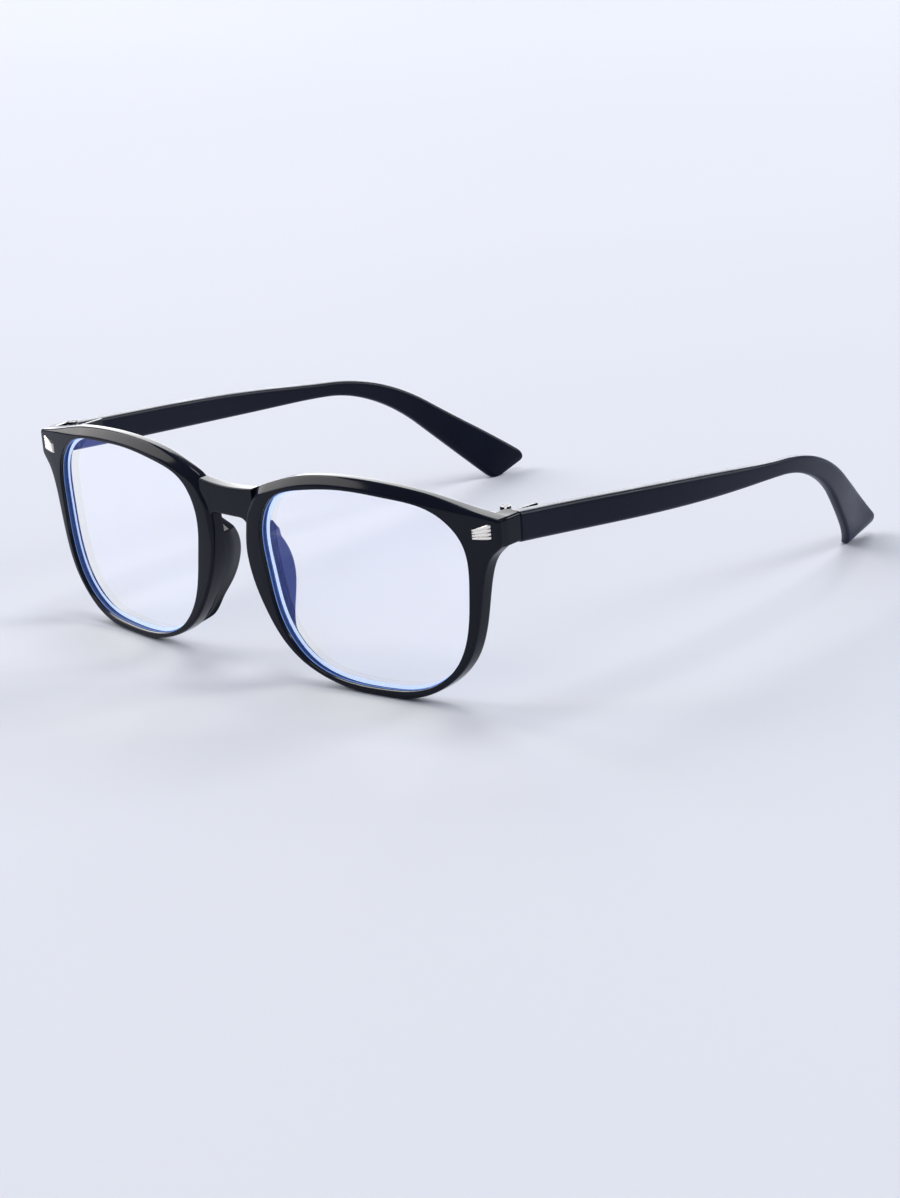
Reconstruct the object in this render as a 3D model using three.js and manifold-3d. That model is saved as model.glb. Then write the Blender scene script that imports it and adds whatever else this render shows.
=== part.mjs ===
// Full-rim plastic blue light glasses, open and standing on the rims and the temple tips.
// Millimetres, +Z up. X runs from the wearer's right eye to the left one, Y from the front to the tips.
// The origin is on the surface that the glasses stand on, under the middle of their box.
import * as THREE from "three";
import { mergeVertices } from "three/addons/utils/BufferGeometryUtils.js";
import Module from "manifold-3d";

const wasm = await Module();
wasm.setup();

// ---- Driving dimensions ----
const FRONT_RADIUS = 274; // wrap of the front, seen from above
const FRONT_TILT = THREE.MathUtils.degToRad(2.1); // the brow leans forward of the rim bottoms
const FRONT_HEIGHT = 2.993; // the front's own zero above the standing surface
const MIDDLE_Y = 77.485; // middle of the whole depth, behind the front's face
const RIM_DEPTH = 3.6;
const GAP = 0.3; // between pieces that meet
const FINE_GAP = 0.15; // between small pieces that are fixed to each other

// The right-hand rim, seen from the front, as [x, z] on the front's face. The left one mirrors it.
const LENS_CENTRE = [36.3, 20];
const OPENING = [
  [62.6, 22.5], [61.7, 33], [55.5, 38.9], [45, 40.9], [34, 41.4], [22, 40.1], [13.6, 37],
  [9.9, 30], [10.5, 21], [13.2, 10], [19.6, 2.2], [29, -1.1], [40, -1.5], [50.5, 0.1], [58.2, 5.8], [61.6, 14],
];
const BROW = [
  [69.7, 38.8], [63.4, 40.1], [54.5, 42.1], [45, 43.4], [35, 43.9], [26, 43.5], [19, 42.3], [13, 40.4],
  [9, 38.6],
];
const NASAL_SIDE = [
  [9, 38.6], [6.4, 35.6], [5.3, 31], [5.1, 24], [6.5, 17.5], [9.3, 11.4], [13.2, 5.7], [18.6, 1.3],
  [26, -1.7], [31, -2.75], [36, -3.1],
];
const TEMPORAL_SIDE = [
  [42, -3.1], [46, -2.75], [51, -1.3], [56.3, 1.9], [61.2, 7.4], [64, 15], [65.3, 22], [66.4, 27],
  [68.3, 30.8], [70.1, 32.6],
];
const END_PIECE = { x: 70.6, low: 33.1, high: 38.1 }; // its straight side
const BROW_BEVEL = { width: 1.75, depth: 1.6 };
const EDGE_BEVEL = { width: 0.55, depth: 0.5 };
const LIP_BEVEL = 0.35;

const LENS = { thickness: 1.6, overlap: 0.75, dome: 0.7 };
const GROOVE = { middle: 1.8, depth: 1.1 }; // middle is behind the front's face

const BRIDGE = { half: 8, top: 37.85, rise: 0.55, bottom: 31.3, setBack: 0.5, fillet: 2.7, flat: 3.5 };

// The nose pad, by height on the front: where its free edge is, how far that stands behind the rim,
// and how wide the pad is where it is bonded.
const PAD_ROWS = [
  { z: 2.8, x: 15.1, reach: 0.3, base: 1 }, { z: 5, x: 12.8, reach: 1, base: 1.6 },
  { z: 9, x: 10.6, reach: 2.6, base: 2.1 }, { z: 12.5, x: 9.3, reach: 4.6, base: 2.7 },
  { z: 16.5, x: 8.3, reach: 6.3, base: 3.1 }, { z: 20, x: 7.6, reach: 6.7, base: 3.1 },
  { z: 23.5, x: 6.9, reach: 5.9, base: 3.1 }, { z: 26.5, x: 6.4, reach: 4.1, base: 3 },
  { z: 29, x: 6.2, reach: 2, base: 2.6 }, { z: 30.6, x: 6.2, reach: 0.6, base: 2 },
];
const PAD = { edge: 1.9, lean: 0.6, round: 0.8 }; // the free edge's thickness, its place past x, its rounding

const LUG = { inner: 67.2, outer: 70.5, end: 14.2, low: 32.6, high: 38.8, root: 63.2, bevel: 0.45 };
const LUG_SINK = { front: 1.5, outerFront: 1, innerRear: 0.5, rear: 0.6 }; // its start inside the rim
const PLAQUE = {
  inner: [64.45, 35.3], outer: [68.55, 36.1], innerHeight: 2.2, outerHeight: 3.2,
  ridges: 4, proud: 0.3, depth: 0.4,
};
const RIDGE = { fill: 0.92, shoulder: 0.6, shoulderRise: 0.8, sunk: 0.1 }; // a ridge's section, by its own size

// The hinge's axis is upright. Heights are above the standing surface.
const AXIS = { x: 66.6, y: 14.4 };
const KNUCKLE = { radius: 1.25, bore: 0.85, neck: [0.9, 1.8] }; // the neck joins the barrel to its plate
const FRONT_KNUCKLES = [[37.1, 38.6], [40.8, 42.1]];
const TEMPLE_KNUCKLES = [[38.9, 40.5]];
const PIN = {
  radius: 0.6, low: 36.9, headRadius: 1.15, headLow: 42.25, headHigh: 42.95,
  slot: 0.5, slotDepth: 0.3, slotTurn: THREE.MathUtils.degToRad(43),
};
const LEAF = { inner: -0.5, outer: 0.3, clear: 1.65 }; // across the axis; clear is where a leaf's plate starts
const FRONT_LEAF = { end: 3.75, low: 37.1, high: 42.1, screws: [[2.8, 38.4], [2.8, 40.8]] };
const TEMPLE_LEAF = {
  end: 9, low: 37.9, high: 41.5, turn: THREE.MathUtils.degToRad(-3), screws: [[3.7, 39.6], [7.1, 39.3]],
};
const LEAF_SCREW = {
  radius: 0.4, hole: 0.62, headRadius: 0.85, headHeight: 0.35, length: 2.4, slot: 0.24, slotDepth: 0.2,
};

// The temple: a straight arm that falls towards the back, a bend and a drop, then a flared tip.
const TEMPLE = {
  start: 14.6, height: 38.86, fall: THREE.MathUtils.degToRad(5.04),
  straight: 86.3, bendRadius: 52.7, bend: THREE.MathUtils.degToRad(34.6), drop: 28.4,
  thickness: 3.3, tipThickness: 2.4, edgeRadius: 1, slant: 4, tipRound: 2.8, tipEdge: 0.8,
};
// Height of the arm and the place of its outer face, by distance along it.
const TEMPLE_HEIGHTS = [[0, 6.45], [46, 6.1], [68, 4.9], [86, 3.65], [102, 4.6], [118, 6.5], [147, 11.5]];
const TEMPLE_BOW = [
  [0, 70.4], [10, 70.9], [26, 72.1], [46, 73.3], [66, 73.4], [86, 72.1], [118, 66.2], [147, 56.7],
];

// ---- Materials ----
const glossBlack = new THREE.MeshStandardMaterial({ color: 0x0b0c10, roughness: 0.15, metalness: 0 });
const satinBlack = new THREE.MeshStandardMaterial({ color: 0x12131a, roughness: 0.35, metalness: 0 });
const clearLens = new THREE.MeshStandardMaterial({
  color: 0xdde6fb, roughness: 0.05, metalness: 0, transparent: true, opacity: 0.25,
});
const silver = new THREE.MeshStandardMaterial({ color: 0xd8d4cc, roughness: 0.25, metalness: 1 });
const darkSteel = new THREE.MeshStandardMaterial({ color: 0x3a3b40, roughness: 0.35, metalness: 1 });

// ---- Solids ----
function bare(geometry) {
  const copy = geometry.clone();
  copy.deleteAttribute("normal");
  copy.deleteAttribute("uv");
  return mergeVertices(copy, 1e-4);
}

function solid(geometry) {
  const { attributes, index } = bare(geometry);
  const triVerts = new Uint32Array(index.array);
  return new wasm.Manifold(new wasm.Mesh({ numProp: 3, vertProperties: attributes.position.array, triVerts }));
}

// Reversing the whole index turns every triangle round again after the mirroring.
function mirrored(geometry) {
  const copy = bare(geometry).scale(-1, 1, 1);
  copy.index.array.reverse();
  return copy;
}

function geometryOf(made) {
  const mesh = made.getMesh();
  const geometry = new THREE.BufferGeometry();
  geometry.setAttribute("position", new THREE.BufferAttribute(mesh.vertProperties, 3));
  geometry.setIndex(new THREE.BufferAttribute(mesh.triVerts, 1));
  geometry.computeVertexNormals();
  return geometry;
}

const join = (geometries) => geometries.map(solid).reduce((a, b) => a.add(b));
const cut = (made, geometries) => geometries.map(solid).reduce((a, b) => a.subtract(b), made);

function named(name, geometry, material) {
  const mesh = new THREE.Mesh(geometry, material);
  mesh.name = name;
  return mesh;
}

// Rings with the same number of points, joined one to the next, then to the first or closed with flat ends.
// The rings may run either way round: the triangles are turned to face outwards.
function loft(rings, closed = false) {
  const size = rings[0].length;
  const index = [];
  const spans = closed ? rings.length : rings.length - 1;
  for (let i = 0; i < spans; i++) {
    const next = (i + 1) % rings.length;
    for (let j = 0; j < size; j++) {
      const k = (j + 1) % size;
      const [a, b, c, d] = [i * size + j, i * size + k, next * size + k, next * size + j];
      index.push(a, b, c, a, c, d);
    }
  }
  const last = (rings.length - 1) * size;
  for (let j = 1; j < size - 1 && !closed; j++) {
    index.push(0, j + 1, j);
    index.push(last, last + j, last + j + 1);
  }
  const points = rings.flat();
  const geometry = new THREE.BufferGeometry();
  geometry.setAttribute("position", new THREE.Float32BufferAttribute(points.flatMap((p) => p.toArray()), 3));
  geometry.setIndex(signedVolume(points, index) < 0 ? index.reverse() : index);
  return geometry;
}

function signedVolume(points, index) {
  let total = 0;
  for (let i = 0; i < index.length; i += 3) {
    const [a, b, c] = index.slice(i, i + 3).map((k) => points[k]);
    total += a.dot(b.clone().cross(c)) / 6;
  }
  return total;
}

// A box between two corners.
function block(low, high) {
  const size = high.map((v, i) => v - low[i]);
  return new THREE.BoxGeometry(...size).translate(...low.map((v, i) => v + size[i] / 2));
}

// An upright cylinder, and one that lies along X.
function upright(radius, low, high) {
  const cylinder = new THREE.CylinderGeometry(radius, radius, high - low, 24);
  return cylinder.rotateX(Math.PI / 2).translate(0, 0, (low + high) / 2);
}

function along(radius, from, to) {
  const cylinder = new THREE.CylinderGeometry(radius, radius, to - from, 16);
  return cylinder.rotateZ(Math.PI / 2).translate((from + to) / 2, 0, 0);
}

// The first of a table's [at, value] pairs that lies beyond a place, at least the second of them.
function pairBeyond(pairs, at) {
  const found = pairs.findIndex((p) => p[0] >= at);
  return found < 0 ? pairs.length - 1 : Math.max(1, found);
}

// Straight-line reading of a table of pairs, and a smooth one.
function between(pairs, at) {
  const i = pairBeyond(pairs, at);
  const [a, b] = [pairs[i - 1], pairs[i]];
  return THREE.MathUtils.mapLinear(at, a[0], b[0], a[1], b[1]);
}

function smooth(pairs, at) {
  const slope = (i) => {
    const [a, b] = [pairs[Math.max(i - 1, 0)], pairs[Math.min(i + 1, pairs.length - 1)]];
    return (b[1] - a[1]) / (b[0] - a[0]);
  };
  const i = pairBeyond(pairs, at);
  const [a, b] = [pairs[i - 1], pairs[i]];
  const span = b[0] - a[0];
  const t = (at - a[0]) / span;
  const [t2, t3] = [t * t, t * t * t];
  return (2 * t3 - 3 * t2 + 1) * a[1] + (t3 - 2 * t2 + t) * span * slope(i - 1)
    + (3 * t2 - 2 * t3) * b[1] + (t3 - t2) * span * slope(i);
}

// ---- The front ----
// A point of the front, by its place on the face and its depth behind it.
function onFront(x, z, depth) {
  return new THREE.Vector3(x, FRONT_RADIUS - Math.sqrt(FRONT_RADIUS ** 2 - x * x) + depth, z);
}

const vectors = (points) => points.map((p) => new THREE.Vector2(...p));

// The opening's radius about the lens centre, by angle.
const openingRadius = (() => {
  const curve = new THREE.CatmullRomCurve3(OPENING.map(([x, z]) => new THREE.Vector3(x, z, 0)), true);
  const [cx, cz] = LENS_CENTRE;
  const polar = curve.getPoints(360).slice(0, -1)
    .map((p) => [Math.atan2(p.y - cz, p.x - cx), Math.hypot(p.x - cx, p.y - cz)])
    .sort((a, b) => a[0] - b[0]);
  const first = polar[0];
  const last = polar[polar.length - 1];
  const turn = 2 * Math.PI;
  const full = [[last[0] - turn, last[1]], ...polar, [first[0] + turn, first[1]]];
  return (angle) => between(full, angle);
})();

function openingPoint(angle, overlap) {
  const radius = openingRadius(angle) + overlap;
  return [LENS_CENTRE[0] + radius * Math.cos(angle), LENS_CENTRE[1] + radius * Math.sin(angle)];
}

// The outside of one rim with its end-piece, as points about 2 mm apart, anticlockwise from the front.
function rimOutline(step = 2) {
  const path = new THREE.Path();
  path.moveTo(...NASAL_SIDE.at(-1));
  path.lineTo(...TEMPORAL_SIDE[0]);
  path.splineThru(vectors(TEMPORAL_SIDE.slice(1)));
  path.quadraticCurveTo(END_PIECE.x, END_PIECE.low - 0.2, END_PIECE.x, END_PIECE.low + 0.4);
  path.lineTo(END_PIECE.x, END_PIECE.high);
  path.quadraticCurveTo(END_PIECE.x, END_PIECE.high + 0.6, ...BROW[0]);
  path.splineThru(vectors(BROW.slice(1)));
  path.splineThru(vectors(NASAL_SIDE.slice(1)));
  return path.curves.flatMap((curve) => {
    const count = Math.max(2, Math.round(curve.getLength() / step));
    return curve.getSpacedPoints(count).slice(0, -1);
  });
}

// The bevel is widest along the brow and fades towards the bridge and the end-piece.
function bevelAt(point, normal) {
  const along = THREE.MathUtils.smoothstep(point.x, 8, 20) * (1 - THREE.MathUtils.smoothstep(point.x, 50, 66));
  const share = along * THREE.MathUtils.smoothstep(normal.y, 0.3, 0.9);
  return {
    width: THREE.MathUtils.lerp(EDGE_BEVEL.width, BROW_BEVEL.width, share),
    depth: THREE.MathUtils.lerp(EDGE_BEVEL.depth, BROW_BEVEL.depth, share),
  };
}

// One section of the rim, from the groove's front lip round the outside and back to its rear lip.
function rimSection(outer, normal) {
  const angle = Math.atan2(outer.y - LENS_CENTRE[1], outer.x - LENS_CENTRE[0]);
  const bevel = bevelAt(outer, normal);
  const inside = (overlap, depth) => onFront(...openingPoint(angle, overlap), depth);
  const outside = (inset, depth) => onFront(outer.x - inset * normal.x, outer.y - inset * normal.y, depth);
  const half = LENS.thickness / 2 + GAP;
  return [
    inside(GROOVE.depth, GROOVE.middle - half),
    inside(0, GROOVE.middle - half),
    inside(0, LIP_BEVEL),
    inside(LIP_BEVEL, 0),
    outside(bevel.width, 0),
    outside(bevel.width * 0.35, bevel.depth * 0.4),
    outside(0, bevel.depth),
    outside(0, RIM_DEPTH - EDGE_BEVEL.depth),
    outside(EDGE_BEVEL.width, RIM_DEPTH),
    inside(LIP_BEVEL, RIM_DEPTH),
    inside(0, RIM_DEPTH - LIP_BEVEL),
    inside(0, GROOVE.middle + half),
    inside(GROOVE.depth, GROOVE.middle + half),
  ];
}

function rim() {
  const outline = rimOutline();
  const sections = outline.map((outer, i) => {
    const before = outline.at(i - 1);
    const after = outline[(i + 1) % outline.length];
    const normal = new THREE.Vector2(after.y - before.y, before.x - after.x).normalize();
    return rimSection(outer, normal);
  });
  return loft(sections, true);
}

function bridge() {
  const rings = [];
  const steps = 20;
  for (let i = 0; i <= steps; i++) {
    const x = THREE.MathUtils.mapLinear(i, 0, steps, -BRIDGE.half, BRIDGE.half);
    const top = BRIDGE.top + BRIDGE.rise * (x / BRIDGE.half) ** 2;
    const into = THREE.MathUtils.clamp((Math.abs(x) - BRIDGE.flat) / BRIDGE.fillet, 0, 1);
    const bottom = BRIDGE.bottom - BRIDGE.fillet * (1 - Math.sqrt(1 - into * into));
    const [near, far] = [BRIDGE.setBack, RIM_DEPTH - 0.2];
    const bevel = EDGE_BEVEL.width;
    rings.push([
      onFront(x, top - bevel, near), onFront(x, top, near + bevel), onFront(x, top, far - bevel),
      onFront(x, top - bevel, far), onFront(x, bottom + bevel, far), onFront(x, bottom, far - bevel),
      onFront(x, bottom, near + bevel), onFront(x, bottom + bevel, near),
    ]);
  }
  return loft(rings);
}

// The block behind the end-piece that carries the hinge. Its end is cut off square afterwards.
function lug() {
  const { bevel } = LUG;
  const spare = 3; // beyond its end, to be cut off
  const face = (x) => onFront(x, 0, 0).y;
  const plan = new THREE.Shape();
  plan.moveTo(LUG.root, face(LUG.root) + LUG_SINK.front);
  plan.lineTo(LUG.outer - bevel, face(LUG.outer) + LUG_SINK.outerFront);
  plan.lineTo(LUG.outer - bevel, LUG.end + spare);
  plan.lineTo(LUG.inner + bevel, LUG.end + spare);
  plan.lineTo(LUG.inner + bevel, face(LUG.inner) + RIM_DEPTH - LUG_SINK.innerRear);
  plan.lineTo(LUG.root, face(LUG.root) + RIM_DEPTH - LUG_SINK.rear);
  const depth = LUG.high - LUG.low - 2 * bevel;
  const geometry = new THREE.ExtrudeGeometry(plan, {
    depth, bevelThickness: bevel, bevelSize: bevel, bevelSegments: 2, curveSegments: 6,
  });
  return geometry.translate(0, 0, LUG.low + bevel);
}

// The fan-shaped plaque's outline, grown by a margin, as four corners on the front's face.
function plaqueCorners(margin) {
  const [[x0, z0], [x1, z1]] = [PLAQUE.inner, PLAQUE.outer];
  const [h0, h1] = [PLAQUE.innerHeight / 2 + margin, PLAQUE.outerHeight / 2 + margin];
  return [[x0 - margin, z0 - h0], [x1 + margin, z1 - h1], [x1 + margin, z1 + h1], [x0 - margin, z0 + h0]];
}

function plaquePlate(margin, near, far) {
  const ring = (depth) => plaqueCorners(margin).map(([x, z]) => onFront(x, z, depth));
  return loft([ring(far), ring(near)]);
}

// Ridges that fan out from the plaque's inner end, each a low half-round bar.
function plaque() {
  const bars = [];
  for (let i = 0; i < PLAQUE.ridges; i++) {
    const share = (i + 0.5) / PLAQUE.ridges - 0.5;
    const bar = ([x, z], height) => {
      const middle = z + share * height;
      const half = (RIDGE.fill * height) / PLAQUE.ridges / 2;
      const [shoulder, rise] = [half * RIDGE.shoulder, -PLAQUE.proud * RIDGE.shoulderRise];
      return [
        onFront(x, middle - half, RIDGE.sunk), onFront(x, middle + half, RIDGE.sunk),
        onFront(x, middle + shoulder, rise), onFront(x, middle, -PLAQUE.proud), onFront(x, middle - shoulder, rise),
      ];
    };
    bars.push(loft([bar(PLAQUE.outer, PLAQUE.outerHeight), bar(PLAQUE.inner, PLAQUE.innerHeight)]));
  }
  return geometryOf(join([plaquePlate(-0.12, -0.05, PLAQUE.depth), ...bars]));
}

// ---- Hinge ----
function knuckle([low, high], reach) {
  const ends = KNUCKLE.neck.map((y) => y * reach).sort((a, b) => a - b);
  return [upright(KNUCKLE.radius, low, high), block([LEAF.inner, ends[0], low], [LEAF.outer, ends[1], high])];
}

function leafPlate(leaf, reach) {
  const ends = [LEAF.clear * reach, leaf.end * reach].sort((a, b) => a - b);
  return block([LEAF.inner, ends[0], leaf.low], [LEAF.outer, ends[1], leaf.high]);
}

const screwHoles = (leaf, reach, radius) =>
  leaf.screws.map(([y, z]) => along(radius, LEAF.inner - 2, LEAF.outer + 3).translate(0, y * reach, z));

// reach is -1 for the leaf on the front and 1 for the one on the temple.
function leafGeometry(leaf, knuckles, reach) {
  const parts = [leafPlate(leaf, reach), ...knuckles.flatMap((span) => knuckle(span, reach))];
  const bore = upright(KNUCKLE.bore, leaf.low - 1, leaf.high + 1);
  return geometryOf(cut(join(parts), [bore, ...screwHoles(leaf, reach, LEAF_SCREW.hole)]));
}

function pinGeometry() {
  const body = join([
    upright(PIN.radius, PIN.low, PIN.headLow + 0.1),
    upright(PIN.headRadius, PIN.headLow, PIN.headHigh),
  ]);
  const slot = block([-PIN.slot / 2, -2, PIN.headHigh - PIN.slotDepth], [PIN.slot / 2, 2, PIN.headHigh + 1]);
  return geometryOf(cut(body, [slot.rotateZ(PIN.slotTurn)]));
}

function leafScrew() {
  const under = LEAF.inner - FINE_GAP;
  const head = along(LEAF_SCREW.headRadius, under - LEAF_SCREW.headHeight, under);
  const shank = along(LEAF_SCREW.radius, under - 0.1, under + LEAF_SCREW.length);
  const half = LEAF_SCREW.slot / 2;
  const slot = block([under - 1, -2, -half], [under - LEAF_SCREW.headHeight + LEAF_SCREW.slotDepth, 2, half]);
  return geometryOf(cut(join([head, shank]), [slot]));
}

// ---- Temple ----
const TEMPLE_LENGTH = TEMPLE.straight + TEMPLE.bendRadius * TEMPLE.bend + TEMPLE.drop;

// The arm's middle line: a point in the YZ plane and its fall there.
function templeLine(s) {
  const arc = TEMPLE.bendRadius * TEMPLE.bend;
  const turned = THREE.MathUtils.clamp((s - TEMPLE.straight) / TEMPLE.bendRadius, 0, TEMPLE.bend);
  const beyond = Math.max(0, s - TEMPLE.straight - arc);
  const ahead = Math.min(s, TEMPLE.straight) + TEMPLE.bendRadius * Math.sin(turned) + beyond * Math.cos(turned);
  const down = TEMPLE.bendRadius * (1 - Math.cos(turned)) + beyond * Math.sin(turned);
  const [c, n] = [Math.cos(TEMPLE.fall), Math.sin(TEMPLE.fall)];
  return {
    y: TEMPLE.start + ahead * c - down * n,
    z: TEMPLE.height - ahead * n - down * c,
    fall: TEMPLE.fall + turned,
  };
}

// A rectangle with round corners, as [across, up] pairs.
function roundedSection(width, height, radius) {
  const points = [];
  const turns = 3;
  for (const [sx, sz, from] of [[1, 1, 0], [-1, 1, 1], [-1, -1, 2], [1, -1, 3]]) {
    for (let k = 0; k <= turns; k++) {
      const angle = (from + k / turns) * (Math.PI / 2);
      points.push([
        sx * (width / 2 - radius) + radius * Math.cos(angle),
        sz * (height / 2 - radius) + radius * Math.sin(angle),
      ]);
    }
  }
  return points;
}

// The arm's section at a distance along it, cut down in height and thickness where the tip is rounded off.
function templeRing(s, lower = 0, thinner = 0) {
  const line = templeLine(s);
  const full = smooth(TEMPLE_HEIGHTS, s);
  const height = full - 2 * lower;
  const thickness = THREE.MathUtils.mapLinear(s, 0, TEMPLE_LENGTH, TEMPLE.thickness, TEMPLE.tipThickness);
  const middle = smooth(TEMPLE_BOW, s) - thickness / 2;
  const width = thickness - 2 * thinner;
  const radius = Math.min(TEMPLE.edgeRadius, width / 2 - 0.05);
  const slant = TEMPLE.slant * THREE.MathUtils.clamp((s - TEMPLE_LENGTH + 15) / 15, 0, 1) ** 2;
  return roundedSection(width, height, radius).map(([across, up]) => {
    const lean = slant * ((2 * up) / full);
    const y = line.y + up * Math.sin(line.fall) + lean * Math.cos(line.fall);
    const z = line.z + up * Math.cos(line.fall) - lean * Math.sin(line.fall);
    return new THREE.Vector3(middle + across, y, z);
  });
}

function templeGeometry() {
  const rings = [];
  const stations = 36;
  const end = TEMPLE_LENGTH - TEMPLE.tipRound;
  for (let i = 0; i <= stations; i++) rings.push(templeRing((end * i) / stations));
  for (const turn of [25, 50, 72, 88].map(THREE.MathUtils.degToRad)) {
    const inset = 1 - Math.cos(turn);
    rings.push(templeRing(end + TEMPLE.tipRound * Math.sin(turn), TEMPLE.tipRound * inset, TEMPLE.tipEdge * inset));
  }
  // The first ring lies in the upright plane of the joint with the end-piece.
  for (const p of rings[0]) {
    p.z -= (TEMPLE.start - p.y) * Math.tan(TEMPLE.fall);
    p.y = TEMPLE.start;
  }
  const relief = upright(KNUCKLE.radius + GAP, 30, 50).translate(AXIS.x, AXIS.y, 0);
  const holes = screwHoles(TEMPLE_LEAF, 1, LEAF_SCREW.hole)
    .map((hole) => hole.rotateZ(TEMPLE_LEAF.turn).translate(AXIS.x, AXIS.y, 0));
  return geometryOf(cut(solid(loft(rings)), [relief, ...holes])).translate(-AXIS.x, -AXIS.y, 0);
}

// ---- Lens and nose pad ----
function lensGeometry() {
  const half = LENS.thickness / 2;
  const rings = [0, 0.35, 0.7, 1];
  const surface = (side) => rings.map((r) => new THREE.Vector2(r, side * half));
  const profile = [...surface(1), ...surface(-1).reverse()];
  const lens = new THREE.LatheGeometry(profile, 64);
  const p = lens.attributes.position;
  for (let i = 0; i < p.count; i++) {
    const [x, y, z] = [p.getX(i), p.getY(i), p.getZ(i)];
    const share = Math.hypot(x, z);
    const angle = share > 0 ? Math.atan2(z, x) : 0;
    const radius = (openingRadius(angle) + LENS.overlap) * share;
    const place = [LENS_CENTRE[0] + radius * Math.cos(angle), LENS_CENTRE[1] + radius * Math.sin(angle)];
    const depth = GROOVE.middle - y - LENS.dome * (1 - share ** 2);
    p.setXYZ(i, ...onFront(...place, depth));
  }
  return lens;
}

// The rim's nasal edge at a height on the front.
function nasalEdge(z) {
  const edge = NASAL_SIDE.map(([x, height]) => [height, x]).reverse();
  return smooth(edge, z);
}

function padGeometry() {
  const rings = PAD_ROWS.map(({ z, x, reach, base }) => {
    const back = RIM_DEPTH + GAP;
    const root = nasalEdge(z) + 0.1;
    const round = Math.min(PAD.round, reach / 2);
    const [middle, half] = [x + PAD.lean, PAD.edge / 2];
    return [
      onFront(root, z, back), onFront(root + base, z, back),
      onFront(middle + half, z, back + reach - round), onFront(middle + half / 2, z, back + reach),
      onFront(middle - half / 2, z, back + reach), onFront(middle - half, z, back + reach - round),
    ];
  });
  return loft(rings);
}

// ---- Assembly ----
const glasses = new THREE.Group();
const frontGroup = new THREE.Group();
frontGroup.position.set(0, -MIDDLE_Y, FRONT_HEIGHT);
frontGroup.rotation.x = FRONT_TILT;
frontGroup.updateMatrix();
glasses.add(frontGroup);

// What is placed upright beside the hinge's axis, brought into the front's own tilted frame.
const intoFront = frontGroup.matrix.clone().invert();
const atHinge = (geometry) => geometry.clone().translate(AXIS.x, AXIS.y - MIDDLE_Y, 0).applyMatrix4(intoFront);

function frontGeometry() {
  const half = [rim(), lug()];
  const clearance = [
    plaquePlate(GAP, -2, PLAQUE.depth + GAP),
    atHinge(block([-8, LUG.end - AXIS.y, 20], [12, 20, 60])),
    atHinge(upright(KNUCKLE.radius + GAP, 30, 50)),
    ...screwHoles(FRONT_LEAF, -1, LEAF_SCREW.hole).map(atHinge),
  ];
  const body = join([bridge(), ...half, ...half.map(mirrored)]);
  return geometryOf(cut(body, [...clearance, ...clearance.map(mirrored)]));
}

frontGroup.add(named("front_frame", frontGeometry(), glossBlack));

// One side's pieces. The left side is the same, mirrored by its groups.
function addSide(side, mirror) {
  const ofFront = new THREE.Group();
  ofFront.scale.x = mirror;
  ofFront.add(named(`lens_${side}`, lensGeometry(), clearLens));
  ofFront.add(named(`nose_pad_${side}`, padGeometry(), satinBlack));
  ofFront.add(named(`rivet_plaque_${side}`, plaque(), silver));
  frontGroup.add(ofFront);

  const hinge = new THREE.Group();
  hinge.position.set(mirror * AXIS.x, AXIS.y - MIDDLE_Y, 0);
  hinge.scale.x = mirror;
  hinge.add(named(`front_hinge_leaf_${side}`, leafGeometry(FRONT_LEAF, FRONT_KNUCKLES, -1), darkSteel));
  hinge.add(named(`hinge_screw_${side}`, pinGeometry(), darkSteel));
  hinge.add(named(`temple_${side}`, templeGeometry(), satinBlack));
  const templeLeaf = new THREE.Group();
  templeLeaf.rotation.z = TEMPLE_LEAF.turn;
  templeLeaf.add(named(`temple_hinge_leaf_${side}`, leafGeometry(TEMPLE_LEAF, TEMPLE_KNUCKLES, 1), darkSteel));
  hinge.add(templeLeaf);
  addScrews(hinge, `front_leaf_screw_${side}`, FRONT_LEAF.screws, -1);
  addScrews(templeLeaf, `temple_leaf_screw_${side}`, TEMPLE_LEAF.screws, 1);
  glasses.add(hinge);
}

function addScrews(group, name, places, reach) {
  places.forEach(([y, z], i) => {
    const screw = named(`${name}_${i + 1}`, leafScrew(), darkSteel);
    screw.position.set(0, y * reach, z);
    group.add(screw);
  });
}

addSide("right", 1);
addSide("left", -1);

export default glasses;
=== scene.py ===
"""Blue light glasses: fine meshes, materials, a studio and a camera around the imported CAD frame.

The object's sizes are in millimetres, as in the CAD part, and become metres when a mesh is made.
"""

import math

import bmesh
import bpy
import numpy as np
from mathutils import Matrix, Vector


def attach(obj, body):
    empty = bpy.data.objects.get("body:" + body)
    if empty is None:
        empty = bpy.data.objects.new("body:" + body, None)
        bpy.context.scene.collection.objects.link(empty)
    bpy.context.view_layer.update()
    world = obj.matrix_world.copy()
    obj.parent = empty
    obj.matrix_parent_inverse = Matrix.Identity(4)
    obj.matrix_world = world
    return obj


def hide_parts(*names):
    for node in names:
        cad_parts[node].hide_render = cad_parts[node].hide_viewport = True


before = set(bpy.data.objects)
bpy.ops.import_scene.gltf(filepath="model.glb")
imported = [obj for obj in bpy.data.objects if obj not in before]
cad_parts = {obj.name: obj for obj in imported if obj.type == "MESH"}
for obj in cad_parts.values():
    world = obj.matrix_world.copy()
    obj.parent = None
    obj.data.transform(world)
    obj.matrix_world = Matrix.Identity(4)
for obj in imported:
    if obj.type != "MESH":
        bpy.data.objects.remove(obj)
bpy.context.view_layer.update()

MM = 0.001

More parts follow.
